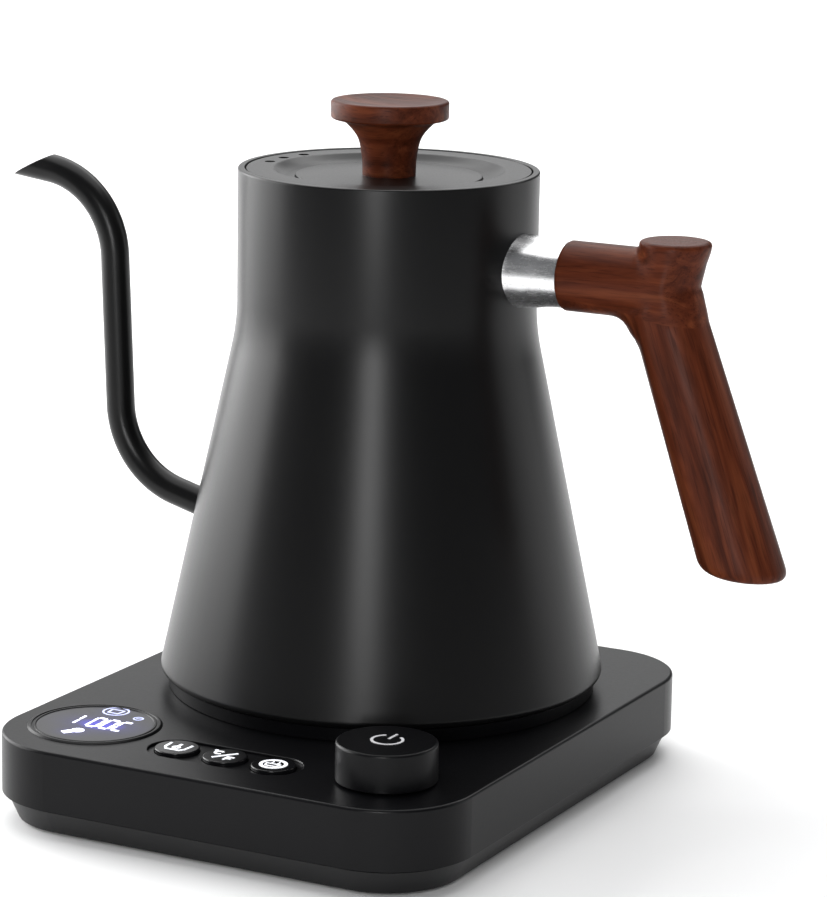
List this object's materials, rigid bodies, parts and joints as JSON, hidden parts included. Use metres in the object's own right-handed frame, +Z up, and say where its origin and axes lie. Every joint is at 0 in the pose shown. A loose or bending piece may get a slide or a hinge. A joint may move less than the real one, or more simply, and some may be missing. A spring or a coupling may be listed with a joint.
{
  "type": "electric gooseneck kettle",
  "caption": "Electric gooseneck pour-over kettle on a powered base, with a conical body, slim curved spout, wooden pistol grip, lid with a knob, display, keys and a turning control knob.",
  "frame": {"origin": "on the surface that the base stands on, at the middle of the base's footprint", "axes": "+Z up, -Y towards the control panel in front, -X towards the spout, +X towards the handle; the kettle's own axis stands at y = 22.1 mm"},
  "size_m": [0.2859, 0.3575, 0.2153],
  "materials": {
    "black_powder_coat": "matte black powder coat",
    "black_satin_plastic": "satin black, fine texture",
    "black_gloss_plastic": "gloss black",
    "dark_plate_plastic": "matte dark grey",
    "display_glass": "dark translucent window over a lit blue-white readout",
    "display_light": "blue-white light mask",
    "walnut": "satin varnished walnut",
    "polished_steel": "polished",
    "satin_steel": "satin",
    "cast_aluminium": "as cast",
    "brass": "bright",
    "plated_steel": "zinc plated",
    "nickel_pin": "nickel plated",
    "black_rubber": "matte",
    "clear_silicone": "translucent grey silicone",
    "cord_pvc": "black flexible PVC",
    "circuit_board": "green solder mask",
    "component_black": "moulded",
    "component_blue": "moulded",
    "component_yellow": "taped winding"
  },
  "bodies": {
    "base": {"base_top_housing": "black_satin_plastic", "base_bottom_plate": "dark_plate_plastic", "rubber_feet": "black_rubber", "base_screws": "plated_steel", "power_connector": "black_satin_plastic", "connector_contacts": "brass", "connector_seal": "clear_silicone", "main_circuit_board": "circuit_board", "main_board_screws": "plated_steel", "power_relay": "component_blue", "power_transformer": "component_yellow", "terminal_block": "component_black", "control_board": "circuit_board", "control_board_screws": "plated_steel", "display_module": "display_light", "display_bezel": "black_satin_plastic", "display_window": "display_glass", "button_switches": "component_black", "buzzer": "component_black", "encoder_body": "plated_steel", "encoder_nut": "plated_steel", "cord_gland": "black_rubber", "inner_lead": "cord_pvc", "cord_clamp": "component_black", "cord_lead": "cord_pvc", "cord_tail": "cord_pvc", "cord_coil": "cord_pvc", "plug_body": "black_satin_plastic", "plug_pins": "nickel_pin", "plug_earth_strips": "satin_steel", "plug_relief": "black_rubber"},
    "hold_key": {"hold_button": "black_gloss_plastic"},
    "unit_key": {"unit_button": "black_gloss_plastic"},
    "timer_key": {"timer_button": "black_gloss_plastic"},
    "knob_carrier": {"encoder_plunger": "plated_steel"},
    "knob": {"control_knob": "black_satin_plastic", "encoder_shaft": "satin_steel"},
    "kettle_dock": {"kettle_connector": "black_satin_plastic", "kettle_contacts": "brass"},
    "kettle": {"kettle_body": "black_powder_coat", "spout_tube": "black_powder_coat", "vessel_floor": "satin_steel", "heat_spreader": "cast_aluminium", "heating_element": "satin_steel", "temperature_probe": "satin_steel", "probe_seal": "clear_silicone", "boil_dry_thermostats": "component_black", "kettle_bottom_cover": "black_satin_plastic", "cover_screws": "plated_steel", "handle_neck": "polished_steel", "handle_stud": "plated_steel", "handle_insert": "brass", "wood_handle": "walnut"},
    "lid": {"lid_shell": "black_powder_coat", "lid_centre_plate": "black_powder_coat", "lid_steel_cup": "satin_steel", "lid_seal": "clear_silicone", "lid_knob": "walnut", "lid_knob_screw": "plated_steel"}
  },
  "joints": [
    {"name": "kettle_lift", "type": "slide", "parent": "base", "child": "kettle_dock", "axis": [0, 0, 1], "range_m": [0, 0.12]},
    {"name": "kettle_swivel", "type": "hinge", "parent": "kettle_dock", "child": "kettle", "pos_m": [0, 0.0221, 0.035], "axis": [0, 0, 1], "continuous": true},
    {"name": "lid_lift", "type": "slide", "parent": "kettle", "child": "lid", "axis": [0, 0, 1], "range_m": [0, 0.06]},
    {"name": "knob_press", "type": "slide", "parent": "base", "child": "knob_carrier", "axis": [0, 0, -1], "range_m": [0, 0.0005], "stiffness_N_per_m": 3000, "springref_m": -0.0008},
    {"name": "knob_turn", "type": "hinge", "parent": "knob_carrier", "child": "knob", "pos_m": [0.0508, -0.0691, 0.03], "axis": [0, 0, 1], "continuous": true},
    {"name": "hold_press", "type": "slide", "parent": "base", "child": "hold_key", "axis": [0, 0, -1], "range_m": [0, 0.0005], "stiffness_N_per_m": 2000, "springref_m": -0.0008},
    {"name": "unit_press", "type": "slide", "parent": "base", "child": "unit_key", "axis": [0, 0, -1], "range_m": [0, 0.0005], "stiffness_N_per_m": 2000, "springref_m": -0.0008},
    {"name": "timer_press", "type": "slide", "parent": "base", "child": "timer_key", "axis": [0, 0, -1], "range_m": [0, 0.0005], "stiffness_N_per_m": 2000, "springref_m": -0.0008}
  ]
}
